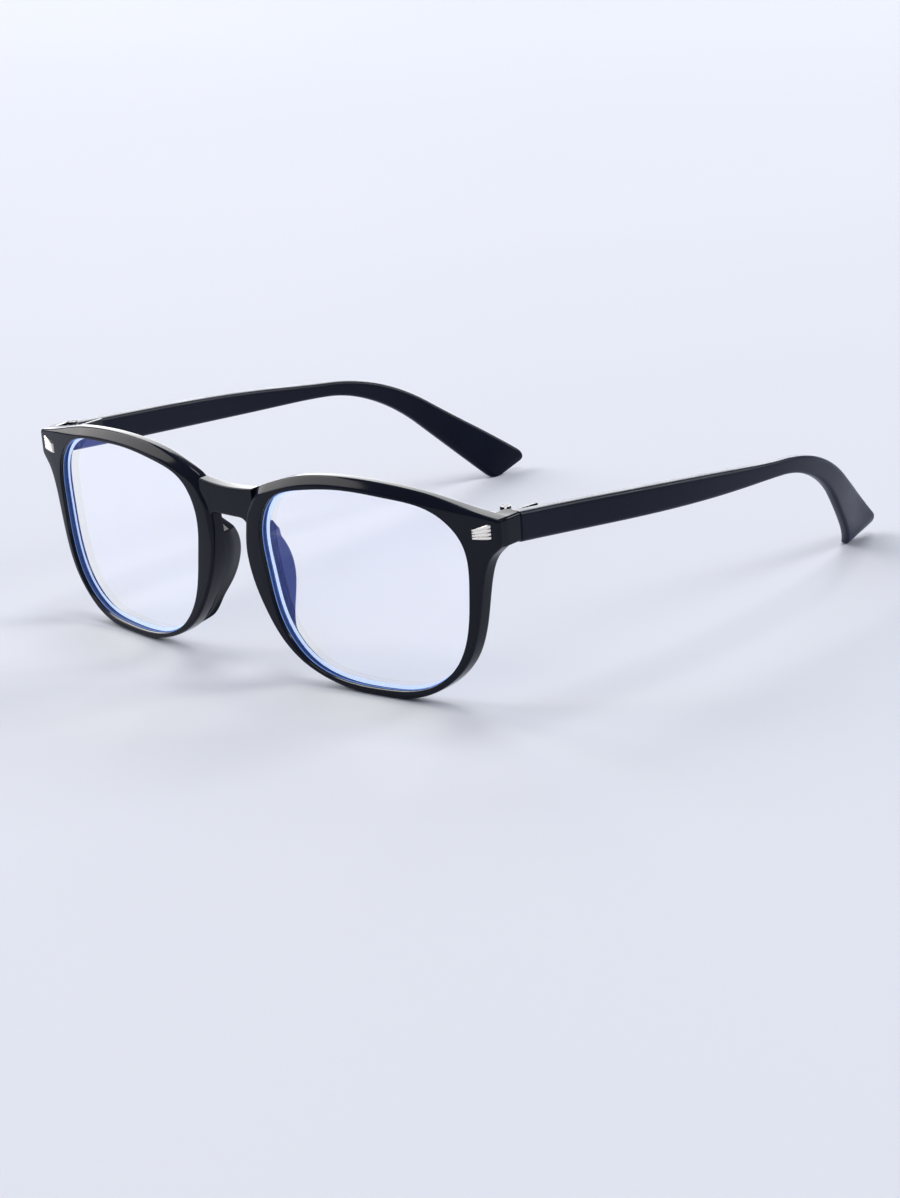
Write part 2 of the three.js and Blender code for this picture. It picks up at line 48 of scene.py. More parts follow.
# ---- The CAD part's driving dimensions ----
FRONT_RADIUS = 274.0
FRONT_TILT = math.radians(2.1)
FRONT_HEIGHT = 2.993
MIDDLE_Y = 77.485
RIM_DEPTH = 3.6
LENS_CENTRE = (36.3, 20.0)
OPENING = [
    (62.6, 22.5), (61.7, 33), (55.5, 38.9), (45, 40.9), (34, 41.4), (22, 40.1), (13.6, 37), (9.9, 30),
    (10.5, 21), (13.2, 10), (19.6, 2.2), (29, -1.1), (40, -1.5), (50.5, 0.1), (58.2, 5.8), (61.6, 14),
]
FOOT = [(36, -3.1), (42, -3.1)]
TEMPORAL_SIDE = [
    (42, -3.1), (46, -2.75), (51, -1.3), (56.3, 1.9), (61.2, 7.4), (64, 15), (65.3, 22), (66.4, 27),
    (68.1, 30.6), (70.0, 32.5),
]
LOWER_CORNER = [(70.0, 32.5), (70.6, 33.1), (70.6, 33.9)]
UPPER_CORNER = [(70.6, 37.95), (70.6, 38.62), (69.9, 38.77)]
BROW = [
    (69.9, 38.77), (63.4, 40.1), (54.5, 42.1), (45, 43.4), (35, 43.9), (26, 43.5), (19, 42.3), (13, 40.4),
    (9, 38.55),
]
NASAL_SIDE = [
    (9, 38.55), (6.5, 35.6), (5.35, 31), (5.1, 24), (6.5, 17.5), (9.3, 11.4), (13.2, 5.7), (18.6, 1.3),
    (26, -1.7), (31, -2.75), (36, -3.1),
]
BROW_SLOPE = (-0.979, 0.202)

# Bevels: width on the face, depth. The brow's fades out along x and where the edge no longer faces up.
BROW_BEVEL = (1.75, 1.6)
EDGE_BEVEL = (0.45, 0.45)
BEVEL_FADE = {"x": (52, 68), "upward": (-0.1, 0.45)}
GROOVE_MIDDLE = 1.8
GROOVE_DEPTH = 1.1
GROOVE_GAP = 0.05
LENS_HALF = 0.8
LENS_DOME = 0.7
LENS_REACH = 0.75
# Radii of the rim section's corners: opening, face, outer edge, rear outer edge and rear opening.
RIM_ROUNDS = {"opening": 0.3, "face": 0.5, "rear": 0.5, "rear_opening": 0.55, "beside_pad": 0.03}

BRIDGE = {
    "half": 8.0, "top": 37.85, "rise": 0.55, "bottom": 31.3, "set_back": 0.5, "back": RIM_DEPTH - 0.2,
    "fillet": 2.7, "flat": 3.5, "top_round": 0.5, "bottom_round": 0.6,
}
# Each row: height on the front, free edge's x, reach behind the rim, width of the base.
PAD_ROWS = [
    (1.8, 16.6, 0.0, 0.5), (3.2, 15.2, 0.25, 1.0), (5, 12.9, 1.0, 1.6), (9, 10.6, 2.6, 2.1),
    (12.5, 9.3, 4.6, 2.7), (16.5, 8.3, 6.3, 3.1), (20, 7.6, 6.7, 3.1), (23.5, 7.0, 5.9, 3.1),
    (26.5, 6.8, 4.1, 3.0), (29, 6.8, 2.0, 2.6), (30.8, 6.8, 0.5, 2.2),
]
PAD_SHOULDER = {"low": 25.8, "high": 28.6, "in": 1.9}  # where the pad's top slants away from the nose
PAD_FOOT = {"low": 1.8, "high": 5.5}  # where the pad runs out into the side of the rim
PAD_EDGE = {"thickness": 1.9, "lean": 0.6, "round": 1.0}
PAD_KNEE = {"out": 0.15, "back": 0.4, "round": 3.0}  # the knee's place as shares of the free edge's
LUG = {"inner": 67.2, "outer": 70.62, "low": 32.6, "top": 38.62, "inner_top": 39.25, "end": 14.2}
LUG_ROUNDS = [0.6, 0.7, 0.4, 0.4]
PLAQUE = {
    "inner": (64.45, 35.3), "outer": (68.55, 36.1), "inner_height": 2.2, "outer_height": 3.2,
    "ridges": 4, "ridge_height": 0.18, "rim_height": 0.12, "back": 0.3, "notch": 0.8,
}
# How far the plaque is lifted to its full height, along its length.
PLAQUE_LIFT = [
    (0, 0.0), (0.03, 0.55), (0.1, 0.85), (0.25, 1), (0.5, 1), (0.75, 1), (0.9, 0.85), (0.97, 0.55), (1, 0.0),
]
RECESS = {"gap": 0.12, "depth": 0.35}
AXIS = (66.6, 14.4)
HINGE_EDGE = 0.07
RELIEF = {"radius": 1.55, "low": 25, "high": 55}  # room for the hinge's barrel, cut through front and temple

TEMPLE_START = 14.6
TEMPLE_HEIGHT = 38.86
TEMPLE_FALL = math.radians(5.04)
TEMPLE_STRAIGHT = 86.3
TEMPLE_BEND_RADIUS = 52.7
TEMPLE_BEND = math.radians(34.6)
TEMPLE_DROP = 28.4
TEMPLE_THICKNESS = (3.3, 2.4)
TEMPLE_CROWN = 0.08
TEMPLE_ROUND = 1.15
TEMPLE_SLANT = {"lean": 4.0, "length": 15}  # how the tip's end leans, and over what length that sets in
TEMPLE_CHAMFER = 0.4  # round the front end
TEMPLE_TIP_ROUND = 2.8
TEMPLE_TIP_EDGE = 0.8
TEMPLE_HEIGHTS = [(0, 6.45), (46, 6.1), (68, 4.9), (86, 3.65), (102, 4.6), (118, 6.5), (147, 11.5)]
TEMPLE_BOW = [(0, 70.4), (10, 70.9), (26, 72.1), (46, 73.3), (66, 73.4), (86, 72.1), (118, 66.2), (147, 56.7)]


# ---- Curves ----
def cubic(knots, values, closed=False, start=None, end=None):
    """A smooth cubic through values at knots.

    start and end are the slopes at the ends. Without them the ends run straight.
    """
    t = np.asarray(knots, float)
    p = np.asarray(values, float).reshape(len(values), -1)
    n = len(t)
    h = np.diff(t)
    a = np.zeros((n, n))
    r = np.zeros_like(p)
    for i in range(1, n - 1):
        a[i, i - 1 : i + 2] = h[i], 2 * (h[i - 1] + h[i]), h[i - 1]
        r[i] = 3 * (h[i] / h[i - 1] * (p[i] - p[i - 1]) + h[i - 1] / h[i] * (p[i + 1] - p[i]))
    if closed:
        a[0, [n - 2, 0, 1]] = h[0], 2 * (h[-1] + h[0]), h[-1]
        r[0] = 3 * (h[0] / h[-1] * (p[0] - p[-2]) + h[-1] / h[0] * (p[1] - p[0]))
        a[-1, [0, -1]] = 1, -1
    else:
        first, last = (p[1] - p[0]) / h[0], (p[-1] - p[-2]) / h[-1]
        for row, other, slope, chord in ((0, 1, start, first), (-1, -2, end, last)):
            a[row, row] = 1 if slope is not None else 2
            a[row, other] = 0 if slope is not None else 1
            r[row] = slope if slope is not None else 3 * chord
    m = np.linalg.solve(a, r)

    def at(s):
        s = np.clip(np.asarray(s, float), t[0], t[-1])
        i = np.clip(np.searchsorted(t, s) - 1, 0, n - 2)
        u = ((s - t[i]) / h[i])[..., None]
        d = h[i][..., None]
        return (
            (2 * u**3 - 3 * u**2 + 1) * p[i]
            + (u**3 - 2 * u**2 + u) * d * m[i]
            + (3 * u**2 - 2 * u**3) * p[i + 1]
            + (u**3 - u**2) * d * m[i + 1]
        )

    return at


def chord_knots(points):
    steps = np.linalg.norm(np.diff(np.asarray(points, float), axis=0), axis=1)
    return np.concatenate([[0], np.cumsum(steps)])


def smooth_path(points, step, start=None, end=None):
    """Points about a step apart along a smooth curve through the given ones. start and end are slopes."""
    knots = chord_knots(points)
    return cubic(knots, points, start=start, end=end)(np.linspace(0, knots[-1], int(knots[-1] / step) + 2))


def corner_path(points, steps=12):
    """A rounded corner: two ends and the point that both ends aim at."""
    a, b, c = (np.array(p, float) for p in points)
    t = np.linspace(0, 1, steps)[:, None]
    return (1 - t) ** 2 * a + 2 * t * (1 - t) * b + t**2 * c


def table(pairs):
    """A smooth function through [at, value] pairs."""
    knots, values = zip(*pairs)
    curve = cubic(knots, values)
    return lambda s: curve(s)[..., 0]


def smoothstep(x, low, high):
    t = np.clip((x - low) / (high - low), 0, 1)
    return t * t * (3 - 2 * t)


def smoothed_ramp(x, low, high):
    """A straight rise from 0 to 1 with short rounded ends."""
    return (np.clip((x - low) / (high - low), 0, 1) * 3 + smoothstep(x, low, high)) / 4


def rounded(points, radii, steps=6):
    """Rounds the corners of polylines, (lines, corners, 3). A corner with radius 0 stays sharp."""
    out = []
    for i, radius in enumerate(radii):
        p = points[:, i]
        if np.all(radius == 0):
            out.append(p)
            continue
        a = points[:, i - 1] - p
        b = points[:, (i + 1) % points.shape[1]] - p
        la = np.linalg.norm(a, axis=1, keepdims=True)
        lb = np.linalg.norm(b, axis=1, keepdims=True)
        reach = np.minimum(radius, 0.46 * np.minimum(la, lb))
        pa = p + a / la * reach
        pb = p + b / lb * reach
        out += [(1 - t) ** 2 * pa + 2 * t * (1 - t) * p + t * t * pb for t in np.linspace(0, 1, steps)]
    return np.stack(out, 1)


# ---- Places ----
def tilted(x, y, z):
    """A place in the front's own upright frame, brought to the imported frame."""
    c, s = math.cos(FRONT_TILT), math.sin(FRONT_TILT)
    return np.stack([x, y * c - z * s - MIDDLE_Y, y * s + z * c + FRONT_HEIGHT], -1)


def on_front(points):
    """Points given as x, height on the face and depth behind it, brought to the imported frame."""
    x, z, depth = points[..., 0], points[..., 1], points[..., 2]
    return tilted(x, FRONT_RADIUS - np.sqrt(FRONT_RADIUS**2 - x * x) + depth, z)


# ---- Meshes ----
def mesh_object(name, vertices, faces, slots=None):
    mesh = bpy.data.meshes.new(name)
    mesh.from_pydata((np.asarray(vertices) * MM).tolist(), [], faces)
    if slots is not None:
        mesh.polygons.foreach_set("material_index", slots)
    tidy = bmesh.new()
    tidy.from_mesh(mesh)
    bmesh.ops.remove_doubles(tidy, verts=tidy.verts, dist=1e-7)
    bmesh.ops.recalc_face_normals(tidy, faces=tidy.faces)
    tidy.to_mesh(mesh)
    tidy.free()
    obj = bpy.data.objects.new(name, mesh)
    bpy.context.scene.collection.objects.link(obj)
    return obj


def loft(name, rings, wrap=False, slots=None):
    """A closed skin over rings of points, (rings, points, 3).

    wrap joins the last ring to the first. Without it both ends are capped.
    slots gives a material number for each row of faces between two rings.
    """
    n, m = rings.shape[:2]
    rows = n if wrap else n - 1
    faces = []
    numbers = []
    for i in range(rows):
        a, b = i * m, (i + 1) % n * m
        faces += [(a + j, a + (j + 1) % m, b + (j + 1) % m, b + j) for j in range(m)]
        numbers += [slots[i] if slots else 0] * m
    if not wrap:
        faces += [tuple(range(m)), tuple((n - 1) * m + j for j in range(m))]
        numbers += [slots[0] if slots else 0, slots[-1] if slots else 0]
    return mesh_object(name, rings.reshape(-1, 3), faces, numbers if slots else None)


def mirror(rings):
    """The right side's rings, made into the left side's."""
    return rings * np.array([-1, 1, 1])


def cylinder(name, centre, radius, low, high, sides=96):
    angle = np.linspace(0, 2 * math.pi, sides, endpoint=False)
    x = centre[0] + radius * np.cos(angle)
    y = centre[1] + radius * np.sin(angle) - MIDDLE_Y
    ring = np.stack([x, y, 0 * angle], -1)
    return loft(name, np.stack([ring + [0, 0, low], ring + [0, 0, high]]))


def relief(side):
    """The tool that cuts room for the barrel of one side's hinge; side is 1 or -1."""
    return cylinder("relief", (side * AXIS[0], AXIS[1]), RELIEF["radius"], RELIEF["low"], RELIEF["high"])


def boolean(target, tool, operation):
    """Joins tool to target, or cuts it away, and removes tool."""
    change = target.modifiers.new(operation.lower(), "BOOLEAN")
    change.operation = operation
    change.solver = "EXACT"
    change.object = tool
    graph = bpy.context.evaluated_depsgraph_get()
    made = bpy.data.meshes.new_from_object(target.evaluated_get(graph))
    target.modifiers.clear()
    target.data = made
    bpy.data.objects.remove(tool)
    return target


def smooth(obj, sharp_angle=30):
    obj.data.shade_smooth()
    obj.data.set_sharp_from_angle(angle=math.radians(sharp_angle))
    return obj


# ---- The front ----
_opening = OPENING + OPENING[:1]
_knots = chord_knots(_opening)
_opening_curve = cubic(_knots, _opening, closed=True)(np.linspace(0, _knots[-1], 721)[:-1])
_polar = _opening_curve - np.array(LENS_CENTRE)
_order = np.argsort(np.arctan2(_polar[:, 1], _polar[:, 0]))
_angles = np.arctan2(_polar[:, 1], _polar[:, 0])[_order]
_radii = np.hypot(_polar[:, 0], _polar[:, 1])[_order]


def opening_at(angle, grow=0.0):
    """The opening's edge at an angle about the lens centre, moved outwards by grow."""
    radius = np.interp(angle, _angles, _radii, period=2 * math.pi) + grow
    return np.stack([LENS_CENTRE[0] + radius * np.cos(angle), LENS_CENTRE[1] + radius * np.sin(angle)], -1)


def rim_outline(step=0.42):
    brow = BROW + NASAL_SIDE[1:]
    parts = [
        smooth_path(FOOT, step),
        smooth_path(TEMPORAL_SIDE, step, start=(1, 0), end=(0.707, 0.707)),
        corner_path(LOWER_CORNER),
        smooth_path([LOWER_CORNER[-1], UPPER_CORNER[0]], step),
        corner_path(UPPER_CORNER, 16),
        smooth_path(brow, step, start=BROW_SLOPE, end=(1, 0)),
    ]
    return np.concatenate([p[:-1] for p in parts])


def rim_rings():
    """The rim's section at each point of its outline, from the lens groove round the outside and back."""
    outer = rim_outline()
    ahead = np.roll(outer, -1, 0) - np.roll(outer, 1, 0)
    normal = np.stack([ahead[:, 1], -ahead[:, 0]], -1)
    normal /= np.linalg.norm(normal, axis=1, keepdims=True)
    angle = np.arctan2(outer[:, 1] - LENS_CENTRE[1], outer[:, 0] - LENS_CENTRE[0])
    share = (1 - smoothstep(outer[:, 0], *BEVEL_FADE["x"])) * smoothstep(normal[:, 1], *BEVEL_FADE["upward"])
    width = EDGE_BEVEL[0] + share * (BROW_BEVEL[0] - EDGE_BEVEL[0])
    depth = EDGE_BEVEL[1] + share * (BROW_BEVEL[1] - EDGE_BEVEL[1])

    def inside(grow, d):
        return np.concatenate([opening_at(angle, grow), np.full((len(outer), 1), d)], 1)

    def outside(inset, d):
        inset = np.broadcast_to(inset, len(outer))[:, None]
        return np.concatenate([outer - inset * normal, np.broadcast_to(d, len(outer))[:, None]], 1)

    half = LENS_HALF + GROOVE_GAP
    front_lip, rear_lip = GROOVE_MIDDLE - half, GROOVE_MIDDLE + half
    corners = [
        inside(GROOVE_DEPTH, front_lip), inside(0, front_lip), inside(0, 0),
        outside(width, 0.0), outside(0.0, depth), outside(0.0, RIM_DEPTH),
        inside(0, RIM_DEPTH), inside(0, rear_lip), inside(GROOVE_DEPTH, rear_lip),
    ]
    # The rear edge is round, except where a nose pad carries the rim's side on.
    height = outer[:, 1]
    facing_nose = smoothstep(-normal[:, 0], 0.3, 0.6)
    beside_pad = facing_nose * smoothstep(height, 0, 3) * (1 - smoothstep(height, 30, 32))
    r = RIM_ROUNDS
    rear = (r["rear"] + (r["beside_pad"] - r["rear"]) * beside_pad)[:, None]
    radii = [0, 0, r["opening"], r["face"], r["face"], rear, r["rear_opening"], 0, 0]
    return on_front(rounded(np.stack(corners, 1), radii, 7))


def bridge_rings():
    """The saddle between the rims, with a fillet where its underside meets each of them."""
    x = np.linspace(-BRIDGE["half"], BRIDGE["half"], 97)
    top = BRIDGE["top"] + BRIDGE["rise"] * (x / BRIDGE["half"]) ** 2
    into = np.clip((np.abs(x) - BRIDGE["flat"]) / BRIDGE["fillet"], 0, 1)
    bottom = BRIDGE["bottom"] - BRIDGE["fillet"] * (1 - np.sqrt(1 - into**2))
    near, far = BRIDGE["set_back"], BRIDGE["back"]
    corners = [
        np.stack([x, z, np.full_like(x, d)], -1)
        for z, d in ((top, near), (top, far), (bottom, far), (bottom, near))
    ]
    radii = [BRIDGE["top_round"]] * 2 + [BRIDGE["bottom_round"]] * 2
    return on_front(rounded(np.stack(corners, 1), radii, 7))


def lug_rings():
    """The block behind the end-piece. It starts inside the rim and ends upright where the temple begins."""
    face = FRONT_RADIUS - math.sqrt(FRONT_RADIUS**2 - LUG["outer"] ** 2)
    end = LUG["end"]
    rings = []
    for depth, inset in ((face + 0.9, 0.12), (face + 1.5, 0.0), (face + 3.0, 0.0), (None, 0.0)):
        outer, inner, low = LUG["outer"] - inset, LUG["inner"] + inset, LUG["low"] + inset
        top, inner_top = LUG["top"] - inset, LUG["inner_top"] - inset
        corners = np.array([(outer, low, 0), (outer, top, 0), (inner, inner_top, 0), (inner, low, 0)])
        flat = rounded(corners[None], LUG_ROUNDS, 9)[0]
        z = flat[:, 1]
        if depth is None:
            y = (end + z * math.sin(FRONT_TILT)) / math.cos(FRONT_TILT)
        else:
            y = np.full_like(z, depth)
        rings.append(tilted(flat[:, 0], y, z))
    return np.stack(rings)


def plaque_ring(grow, depth):
    """The plaque's outline, grown by grow, at a depth behind the face."""
    (x0, z0), (x1, z1) = PLAQUE["inner"], PLAQUE["outer"]
    h0, h1 = PLAQUE["inner_height"] / 2 + grow, PLAQUE["outer_height"] / 2 + grow
    low_x, high_x = x0 - grow, x1 + grow
    outline = [(low_x, z0 - h0), (high_x, z1 - h1), (high_x, z1 + h1), (low_x, z0 + h0)]
    return on_front(np.array([(x, z, depth) for x, z in outline]))


def front_object():
    front = loft("front_shell", rim_rings(), wrap=True)
    boolean(front, loft("rim_left", mirror(rim_rings()), wrap=True), "UNION")
    boolean(front, loft("bridge", bridge_rings()), "UNION")
    for turn in (np.array, mirror):
        boolean(front, loft("lug", turn(lug_rings())), "UNION")
        recess = np.stack([plaque_ring(RECESS["gap"], -2.0), plaque_ring(RECESS["gap"], RECESS["depth"])])
        boolean(front, loft("recess", turn(recess)), "DIFFERENCE")
    for side in (1, -1):
        boolean(front, relief(side), "DIFFERENCE")
    return smooth(front, 24)


# ---- Lenses ----
def lens_rings():
    """Rings from the middle of the front surface, round the edge and back to the middle at the rear.

    Each profile point has its share of the way out, its place past the opening's edge, its depth and
    the material of the faces that follow it.
    """
    angle = np.linspace(-math.pi, math.pi, 288, endpoint=False)
    front, rear = GROOVE_MIDDLE - LENS_HALF, GROOVE_MIDDLE + LENS_HALF
    shares = [0.02, 0.15, 0.3, 0.45, 0.6, 0.75, 0.88, 0.96]
    # Material numbers: the clear lens, then the edge bands with painted glow and painted highlight lines, at
    # the front line, the side and the rear line.
    clear, front_line, side, rear_line = range(4)
    profile = [(share, 0.0, front, clear) for share in shares]
    profile += [(1, -0.22, front, front_line), (1, 0.05, front, side), (1, LENS_REACH, front + 0.4, side)]
    profile += [(1, LENS_REACH, rear - 0.3, side), (1, 0.35, rear, rear_line), (1, -0.6, rear, clear)]
    profile += [(share, 0.0, rear, clear) for share in reversed(shares)]
    rings = []
    for share, grow, depth, _ in profile:
        edge = opening_at(angle, grow) - np.array(LENS_CENTRE)
        flat = np.array(LENS_CENTRE) + edge * share
        domed = depth - LENS_DOME * (1 - share**2)
        rings.append(on_front(np.concatenate([flat, np.full((len(angle), 1), domed)], 1)))
    return np.stack(rings), [p[3] for p in profile[:-1]]


# ---- Nose pads ----
# The rim's nose side as x by height, over the stretch that a pad can stand on.
_beside_nose = NASAL_SIDE[7::-1]
_nasal = cubic([z for x, z in _beside_nose], [x for x, z in _beside_nose])


def pad_rings():
    """One section for each height: it leaves the rim's side at the root and bends back to the free edge."""
    rows = np.array(PAD_ROWS)
    z = np.linspace(rows[0, 0], rows[-1, 0], 90)
    x, reach, base = cubic(rows[:, 0], rows[:, 1:])(z).T
    slant = smoothed_ramp(z, PAD_SHOULDER["low"], PAD_SHOULDER["high"]) * PAD_SHOULDER["in"]
    x = x + slant
    root = _nasal(z)[:, 0] + 0.01 + slant
    near = np.full_like(z, RIM_DEPTH - 0.02)
    free = x + PAD_EDGE["lean"] - PAD_EDGE["thickness"] / 2
    edge = root + (free - root) * smoothstep(z, PAD_FOOT["low"], PAD_FOOT["high"])
    far_edge = edge + PAD_EDGE["thickness"]
    knee = root + PAD_KNEE["out"] * (edge - root)
    bent, rear = near + PAD_KNEE["back"] * reach, near + reach
    section = [(root, near), (knee, bent), (edge, rear), (far_edge, rear), (root + base, near)]
    corners = np.stack([np.stack((across, z, depth), -1) for across, depth in section], 1)
    radii = [0, PAD_KNEE["round"], PAD_EDGE["round"], PAD_EDGE["round"], 0]
    return on_front(rounded(corners, radii, 10))


# ---- Plaques ----
def plaque_rings():
    """A fan with rounded ridges. The grooves between them notch both of its ends."""
    ridges = PLAQUE["ridges"]
    v = np.linspace(0, 1, ridges * 20 + 1)
    wave = smoothstep(np.abs(np.sin(math.pi * ridges * v)), 0, 0.6)
    (x0, z0), (x1, z1) = PLAQUE["inner"], PLAQUE["outer"]
    rings = []
    for u, lift in PLAQUE_LIFT:
        height = PLAQUE["inner_height"] + u * (PLAQUE["outer_height"] - PLAQUE["inner_height"])
        ends = (u - 0.5) * 2
        x = x0 + u * (x1 - x0) + ends**3 * PLAQUE["notch"] * (wave - 0.9)
        z = z0 + u * (z1 - z0) + (v - 0.5) * height
        depth = 0.02 - lift * (PLAQUE["rim_height"] + PLAQUE["ridge_height"] * wave)
        top = np.stack([x, z, depth], -1)
        back = np.stack([x, z, np.full_like(x, PLAQUE["back"])], -1)[::-1]
        rings.append(np.concatenate([top, back]))
    return on_front(np.stack(rings))


# ---- Temples ----
_height_at = table(TEMPLE_HEIGHTS)
_bow_at = table(TEMPLE_BOW)
TEMPLE_LENGTH = TEMPLE_STRAIGHT + TEMPLE_BEND_RADIUS * TEMPLE_BEND + TEMPLE_DROP


def temple_line(s):
    """The temple's middle line at length s: y, z and how steeply it falls there."""
    arc = TEMPLE_BEND_RADIUS * TEMPLE_BEND
    turned = min(max((s - TEMPLE_STRAIGHT) / TEMPLE_BEND_RADIUS, 0), TEMPLE_BEND)
    beyond = max(0.0, s - TEMPLE_STRAIGHT - arc)
    ahead = min(s, TEMPLE_STRAIGHT) + TEMPLE_BEND_RADIUS * math.sin(turned) + beyond * math.cos(turned)
    down = TEMPLE_BEND_RADIUS * (1 - math.cos(turned)) + beyond * math.sin(turned)
    c, n = math.cos(TEMPLE_FALL), math.sin(TEMPLE_FALL)
    return TEMPLE_START + ahead * c - down * n, TEMPLE_HEIGHT - ahead * n - down * c, TEMPLE_FALL + turned


def temple_ring(s, lower=0.0, thinner=0.0):
    """The section at length s, with its height and thickness taken in on each side."""
    y0, z0, fall = temple_line(s)
    full = float(_height_at(s))
    height = full - 2 * lower
    thickness = TEMPLE_THICKNESS[0] + (TEMPLE_THICKNESS[1] - TEMPLE_THICKNESS[0]) * s / TEMPLE_LENGTH
    width = thickness - 2 * thinner
    middle = float(_bow_at(s)) - thickness / 2
    w, h = width / 2, height / 2
    corners = np.array([(w, -h, 0), (w + TEMPLE_CROWN, 0, 0), (w, h, 0), (-w, h, 0), (-w, -h, 0)])
    radius = min(TEMPLE_ROUND, 0.48 * width)
    flat = rounded(corners[None], [radius, 2.0, radius, radius, radius], 10)[0]
    across, up = flat[:, 0], flat[:, 1]
    near_tip = min(max(1 - (TEMPLE_LENGTH - s) / TEMPLE_SLANT["length"], 0), 1)
    lean = TEMPLE_SLANT["lean"] * near_tip**2 * 2 * up / full
    y = y0 + up * math.sin(fall) + lean * math.cos(fall)
    z = z0 + up * math.cos(fall) - lean * math.sin(fall)
    return np.stack([middle + across, y, z], -1)


def butt_ring(inset, back):
    """A ring upright behind the end-piece, which makes the temple's flat front end."""
    ring = temple_ring(0.0, inset, inset)
    ring[:, 2] -= (TEMPLE_START - ring[:, 1]) * math.tan(TEMPLE_FALL)
    ring[:, 1] = TEMPLE_START + back
    return ring


def temple_rings():
    end = TEMPLE_LENGTH - TEMPLE_TIP_ROUND
    rings = [butt_ring(TEMPLE_CHAMFER, 0), butt_ring(0, TEMPLE_CHAMFER)]
    rings += [temple_ring(s) for s in np.linspace(0, end, 150)[1:]]
    for turn in np.radians(np.linspace(8, 88, 11)):
        length = end + TEMPLE_TIP_ROUND * math.sin(turn)
        inset = 1 - math.cos(turn)
        rings.append(temple_ring(length, TEMPLE_TIP_ROUND * inset, TEMPLE_TIP_EDGE * inset))
    return np.stack(rings) - np.array([0, MIDDLE_Y, 0])


# ---- Materials ----
class Paint:
    """A material under construction: its node tree and its main shader."""

    def __init__(self, name):
        self.material = bpy.data.materials.new(name)
        self.material.use_nodes = True
        self.tree = self.material.node_tree
        self.shader = self.tree.nodes["Principled BSDF"]
        self.output = self.tree.nodes["Material Output"]
        self.place = self.node("ShaderNodeTexCoord").outputs["Object"]

    def node(self, kind, **settings):
        made = self.tree.nodes.new(kind)
        for key, value in settings.items():
            setattr(made, key, value)
        return made

    def link(self, source, target):
        self.tree.links.new(source, target)

    def set(self, **values):
        for key, value in values.items():
            self.shader.inputs[key.replace("_", " ")].default_value = value

    def noise(self, scale, detail=2.0, stretch=None):
        made = self.node("ShaderNodeTexNoise")
        made.inputs["Scale"].default_value = scale
        made.inputs["Detail"].default_value = detail
        source = self.place
        if stretch:
            mapping = self.node("ShaderNodeMapping")
            mapping.inputs["Scale"].default_value = stretch
            self.link(source, mapping.inputs["Vector"])
            source = mapping.outputs["Vector"]
        self.link(source, made.inputs["Vector"])
        return made.outputs["Fac"]

    def spread(self, noise, low, high):
        """The middle range of a noise, where nearly all of it lies, brought to low to high."""
        made = self.node("ShaderNodeMapRange")
        for key, value in (("From Min", 0.3), ("From Max", 0.7), ("To Min", low), ("To Max", high)):
            made.inputs[key].default_value = value
        self.link(noise, made.inputs["Value"])
        return made.outputs["Result"]

    def mottle(self, noise, first, second):
        """A colour that drifts between two with a noise."""
        made = self.node("ShaderNodeMix", data_type="RGBA")
        made.inputs["A"].default_value = (*first, 1)
        made.inputs["B"].default_value = (*second, 1)
        self.link(self.spread(noise, 0, 1), made.inputs["Factor"])
        return made.outputs["Result"]

    def feed(self, socket, source):
        self.link(source, self.shader.inputs[socket])

    def bump(self, height, strength, distance):
        made = self.node("ShaderNodeBump")
        made.inputs["Strength"].default_value = strength
        made.inputs["Distance"].default_value = distance
        self.link(height, made.inputs["Height"])
        self.link(made.outputs["Normal"], self.shader.inputs["Normal"])


def gloss_plastic():
    paint = Paint("gloss_black_plastic")
    paint.set(IOR=1.46, Specular_IOR_Level=0.2)
    paint.feed("Roughness", paint.spread(paint.noise(70, 4.0), 0.07, 0.13))
    paint.feed("Base Color", paint.mottle(paint.noise(35), (0.0045, 0.006, 0.0135), (0.0065, 0.008, 0.0165)))
    paint.bump(paint.noise(160, 2.0), 0.02, 0.0003)
    return paint.material


def satin_plastic():
    paint = Paint("satin_black_plastic")
    paint.set(IOR=1.46, Specular_IOR_Level=0.14, Sheen_Weight=0.22, Sheen_Roughness=0.35)
    paint.set(Sheen_Tint=(0.45, 0.58, 1.0, 1))
    paint.feed("Roughness", paint.spread(paint.noise(90, 5.0), 0.26, 0.38))
    paint.feed("Base Color", paint.mottle(paint.noise(45), (0.0035, 0.0058, 0.0155), (0.005, 0.008, 0.0195)))
    paint.bump(paint.noise(2600, 2.0), 0.05, 0.00006)
    return paint.material


def coated_lens():
    """A blue light lens. It mirrors some blue, so it looks clear over white and blue over black."""
    paint = Paint("coated_lens")
    paint.tree.nodes.remove(paint.shader)
    through = paint.node("ShaderNodeBsdfTransparent")
    mirror_side = paint.node("ShaderNodeBsdfGlossy")
    mirror_side.inputs["Color"].default_value = (0.04, 0.052, 0.155, 1)
    smears = paint.noise(55, 3.0)
    paint.link(paint.spread(smears, 0.01, 0.05), mirror_side.inputs["Roughness"])
    paint.link(paint.mottle(smears, (0.984, 0.974, 0.895), (0.975, 0.965, 0.88)), through.inputs["Color"])
    both = paint.node("ShaderNodeAddShader")
    paint.link(through.outputs[0], both.inputs[0])
    paint.link(mirror_side.outputs[0], both.inputs[1])
    paint.link(both.outputs[0], paint.output.inputs["Surface"])
    return paint.material


def painted_glow_edge(name, dark, light, glow):
    """A band of the lens's ground edge with painted light: its colour is a painted highlight that glows
    though it is no lamp. glow is how much of its colour it sends out.
    """
    paint = Paint(name)
    paint.set(IOR=1.5, Emission_Strength=glow)
    fine = paint.noise(900, 2.0)
    colour = paint.mottle(fine, dark, light)
    paint.feed("Base Color", colour)
    paint.feed("Emission Color", colour)
    paint.feed("Roughness", paint.spread(fine, 0.3, 0.4))
    return paint.material


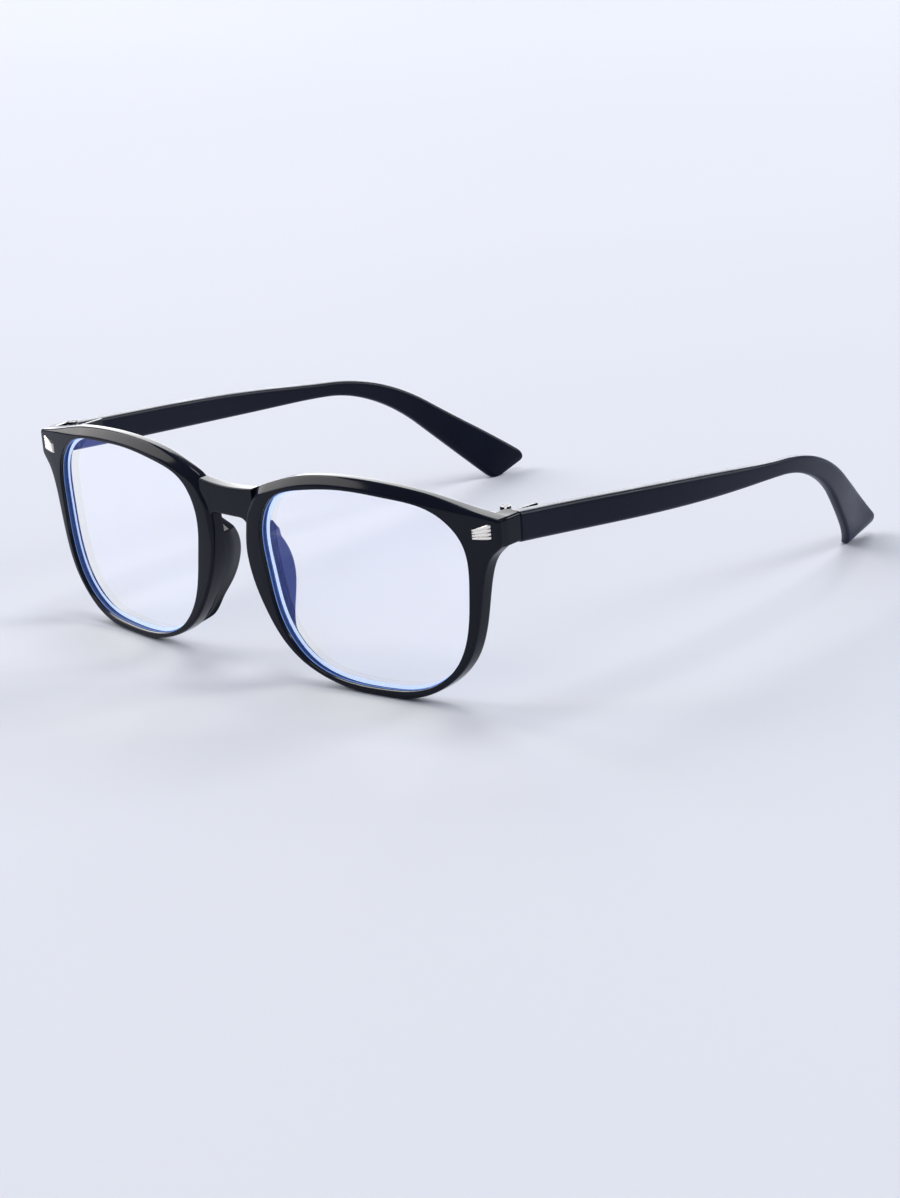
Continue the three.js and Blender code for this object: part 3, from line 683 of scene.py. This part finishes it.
def silver_plate():
    paint = Paint("silver_plate")
    paint.set(Metallic=0.9)
    paint.feed("Base Color", paint.mottle(paint.noise(420, 3.0), (1.0, 0.97, 0.92), (0.97, 0.91, 0.83)))
    paint.feed("Roughness", paint.spread(paint.noise(1400, 2.0), 0.25, 0.4))
    paint.bump(paint.noise(2500, 2.0), 0.05, 0.00003)
    return paint.material


def hinge_steel():
    paint = Paint("hinge_steel")
    paint.set(Metallic=1.0)
    lines = paint.noise(900, 2.0, stretch=(1, 1, 14))
    paint.feed("Base Color", paint.mottle(lines, (0.035, 0.037, 0.045), (0.06, 0.06, 0.07)))
    paint.feed("Roughness", paint.spread(lines, 0.25, 0.42))
    paint.bump(lines, 0.06, 0.00005)
    return paint.material


def floor_surface():
    paint = Paint("studio_floor")
    paint.set(IOR=1.4, Specular_IOR_Level=0.0)
    paint.feed("Base Color", paint.mottle(paint.noise(2.5), (0.672, 0.694, 0.75), (0.692, 0.714, 0.77)))
    paint.feed("Roughness", paint.spread(paint.noise(6), 0.3, 0.42))
    return paint.material


# ---- Build ----
def dress(obj, *materials):
    """Puts materials in the object's slots in order, and leaves the faces' slot numbers alone."""
    while len(obj.data.materials) < len(materials):
        obj.data.materials.append(None)
    for number in range(len(obj.data.materials)):
        obj.data.materials[number] = materials[min(number, len(materials) - 1)]


GLOSS = gloss_plastic()
SATIN = satin_plastic()
# The lens, then its edge bands, which glow with painted light: a blue painted highlight line at the front, a
# dark blue painted glow on the side and a pale painted highlight line at the rear.
LENS = [
    coated_lens(),
    painted_glow_edge("lens_front_painted_glow", (0.10, 0.19, 0.50), (0.16, 0.27, 0.62), 0.8),
    painted_glow_edge("lens_side_painted_glow", (0.012, 0.035, 0.13), (0.02, 0.05, 0.18), 0.5),
    painted_glow_edge("lens_rear_painted_glow", (0.62, 0.76, 0.95), (0.7, 0.82, 0.98), 0.62),
]
SILVER = silver_plate()
STEEL = hinge_steel()


def place(obj, body, replaces, materials):
    """Gives a piece its looks and its moving body, and hides the CAD node that it stands for."""
    dress(obj, *materials)
    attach(obj, body)
    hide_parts(replaces)


place(front_object(), "front", "front_frame", [GLOSS])

for side, turn in (("right", np.array), ("left", mirror)):
    rings, numbers = lens_rings()
    lens = smooth(loft(f"lens_glass_{side}", turn(rings), slots=numbers), 40)
    place(lens, "front", f"lens_{side}", LENS)
    pad = smooth(loft(f"nose_wing_{side}", turn(pad_rings())), 40)
    place(pad, "front", f"nose_pad_{side}", [GLOSS])
    fan = smooth(loft(f"plaque_fan_{side}", turn(plaque_rings())), 50)
    place(fan, "front", f"rivet_plaque_{side}", [SILVER])
    sign = 1 if side == "right" else -1
    arm = loft(f"temple_arm_{side}", turn(temple_rings()))
    boolean(arm, relief(sign), "DIFFERENCE")
    place(smooth(arm, 30), f"{side}_arm", f"temple_{side}", [SATIN])

for name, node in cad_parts.items():
    if "leaf" in name or "screw" in name:
        dress(node, STEEL)
        edge = node.modifiers.new("edge", "BEVEL")
        edge.width = HINGE_EDGE * MM
        edge.segments = 2
        edge.limit_method = "ANGLE"
        node.data.shade_smooth()
        node.data.set_sharp_from_angle(angle=math.radians(35))


# ---- Studio, in metres ----
FLOOR_HALF = 6.0


def add_floor():
    mesh = bpy.data.meshes.new("studio_floor")
    h = FLOOR_HALF
    mesh.from_pydata([(-h, -h, 0), (h, -h, 0), (h, h, 0), (-h, h, 0)], [], [(0, 1, 2, 3)])
    floor = bpy.data.objects.new("studio_floor", mesh)
    bpy.context.scene.collection.objects.link(floor)
    mesh.materials.append(floor_surface())


def direction(azimuth, elevation):
    """The way out from the object; azimuth 0 is in front of it and 90 on its +X side."""
    a, e = math.radians(azimuth), math.radians(elevation)
    return Vector((math.sin(a) * math.cos(e), -math.cos(a) * math.cos(e), math.sin(e)))


def softbox(name, azimuth, elevation, spread, radiance, colour, distance):
    """An area light that faces the object.

    spread is how many degrees it fills each way. radiance is 1 for what looks like white paper.
    """
    light = bpy.data.lights.new(name, "AREA")
    light.shape = "RECTANGLE"
    light.size, light.size_y = (2 * distance * math.tan(math.radians(angle / 2)) for angle in spread)
    light.energy = radiance * math.pi * light.size * light.size_y
    light.color = colour
    lamp = bpy.data.objects.new(name, light)
    outward = direction(azimuth, elevation)
    lamp.location = outward * distance
    lamp.rotation_euler = outward.to_track_quat("Z", "Y").to_euler()
    bpy.context.scene.collection.objects.link(lamp)


def add_world(colour, strength):
    world = bpy.data.worlds.new("studio")
    bpy.context.scene.world = world
    world.use_nodes = True
    background = world.node_tree.nodes["Background"]
    background.inputs["Color"].default_value = (*colour, 1)
    background.inputs["Strength"].default_value = strength


# The place in mm, the angles in degrees, and the focal length as a share of the picture's long side.
CAMERA = {
    "at": (469.04, -505.53, 213.21), "azimuth": 43.460, "elevation": 17.569, "roll": -3.250,
    "focal_share": 2.5708,
}


def add_camera():
    data = bpy.data.cameras.new("camera")
    data.sensor_width = 36.0
    data.lens = CAMERA["focal_share"] * data.sensor_width
    camera = bpy.data.objects.new("camera", data)
    a, r = math.radians(CAMERA["azimuth"]), math.radians(CAMERA["roll"])
    back = direction(CAMERA["azimuth"], CAMERA["elevation"])
    level = Vector((math.cos(a), math.sin(a), 0))
    up = back.cross(level)
    right = math.cos(r) * level + math.sin(r) * up
    above = math.cos(r) * up - math.sin(r) * level
    turn = Matrix((right, above, back)).transposed()
    camera.matrix_world = Matrix.Translation(Vector(CAMERA["at"]) * MM) @ turn.to_4x4()
    bpy.context.scene.collection.objects.link(camera)
    bpy.context.scene.camera = camera


add_floor()
softbox("overhead", 200, 74, (22, 22), 5.6, (1.0, 0.985, 0.97), 4.0)
softbox("behind", 224, 20, (34, 42), 4.5, (1.0, 1.0, 1.0), 9.0)
softbox("upper_left", 286, 32, (46, 38), 3.8, (1.0, 0.96, 0.93), 6.0)
softbox("behind_right", 150, 28, (24, 20), 8.0, (1.0, 0.99, 0.97), 6.0)
add_world((0.72, 0.8, 1.0), 0.3)
add_camera()
bpy.context.scene.view_settings.view_transform = "Standard"
